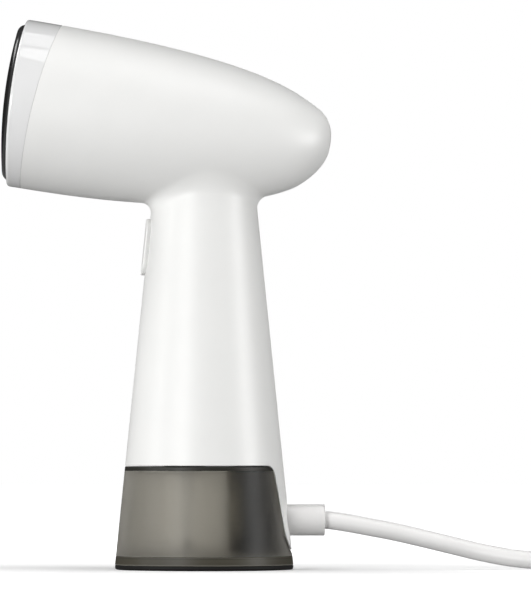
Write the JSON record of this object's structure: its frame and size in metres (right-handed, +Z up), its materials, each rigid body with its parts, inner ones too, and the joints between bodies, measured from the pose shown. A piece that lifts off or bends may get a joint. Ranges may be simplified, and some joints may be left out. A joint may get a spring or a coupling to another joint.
{
  "type": "handheld garment steamer",
  "caption": "Handheld garment steamer: tapered handle standing on a smoky water tank, round head with a steam plate, and a mains cord coiled beside it.",
  "frame": {"origin": "middle of the underside of the foot pad, on the handle's axis", "axes": "+Z up along the handle; -X points the way the steam plate faces; +X is the side that the cord leaves from; +Y is the right-hand side of a user who points the head away"},
  "size_m": [0.4119, 0.1236, 0.2598],
  "materials": {
    "shell_white": "satin white moulded plastic",
    "collar_white": "glossy white moulded plastic",
    "plate_black": "glossy near-black coated plate",
    "tank_smoke": "smoky translucent plastic",
    "tank_dark": "dark smoky plastic rim",
    "rubber_dark": "matte black rubber",
    "cord_white": "satin white cord jacket",
    "silicone": "translucent silicone tube",
    "cast_alloy": "die-cast aluminium",
    "steel": "zinc-plated steel",
    "brass": "turned brass",
    "inner_plastic": "grey heat-resistant plastic",
    "copper": "enamelled copper winding",
    "board_green": "green circuit board",
    "parts_blue": "moulded component bodies",
    "wire": "insulated wire",
    "ceramic": "ceramic and phenolic"
  },
  "bodies": {
    "housing": {"left_shell": "shell_white", "right_shell": "shell_white", "collar": "collar_white", "steam_plate": "plate_black", "plate_gasket": "rubber_dark", "steam_chamber": "cast_alloy", "chamber_seal": "silicone", "chamber_cover": "cast_alloy", "heating_element": "steel", "chamber_screws": "steel", "steam_inlet": "brass", "thermostat": "ceramic", "thermal_fuse": "steel", "heat_shield": "cast_alloy", "chamber_bracket": "inner_plastic", "collar_screws": "steel", "outlet_hose": "silicone", "pump_body": "inner_plastic", "pump_coil": "copper", "pump_yoke": "steel", "pump_mounts": "rubber_dark", "inlet_hose": "silicone", "intake_pipe": "shell_white", "intake_filter": "ceramic", "control_board": "board_green", "board_parts": "parts_blue", "microswitch": "inner_plastic", "trigger_guide": "inner_plastic", "handle_floor": "inner_plastic", "floor_screws": "steel", "mains_wires": "wire", "heater_wires": "wire", "switch_wires": "wire", "cord_sleeve": "cord_white", "cord_clamp": "inner_plastic", "clamp_screws": "steel", "trigger_spring": "steel", "power_cord": "cord_white", "cord_coil": "cord_white", "cord_end": "cord_white", "plug_tail": "cord_white", "plug_body": "cord_white", "plug_pins": "steel"},
    "trigger": {"trigger": "shell_white", "switch_plunger": "parts_blue"},
    "tank": {"tank_body": "tank_smoke", "tank_base": "tank_dark", "tank_lid": "tank_dark", "tank_grommet": "rubber_dark", "foot_pad": "rubber_dark"},
    "stopper": {"filler_stopper": "rubber_dark"}
  },
  "joints": [
    {"name": "trigger_press", "type": "slide", "parent": "housing", "child": "trigger", "axis": [1, 0, 0], "range_m": [0, 0.002], "stiffness_N_per_m": 600, "springref_m": -0.002, "deforming": ["trigger_spring"]},
    {"name": "tank_pull", "type": "slide", "parent": "housing", "child": "tank", "axis": [0, 0, -1], "range_m": [0, 0.06]},
    {"name": "stopper_lift", "type": "slide", "parent": "tank", "child": "stopper", "axis": [0, 0, 1], "range_m": [0, 0.005]}
  ]
}
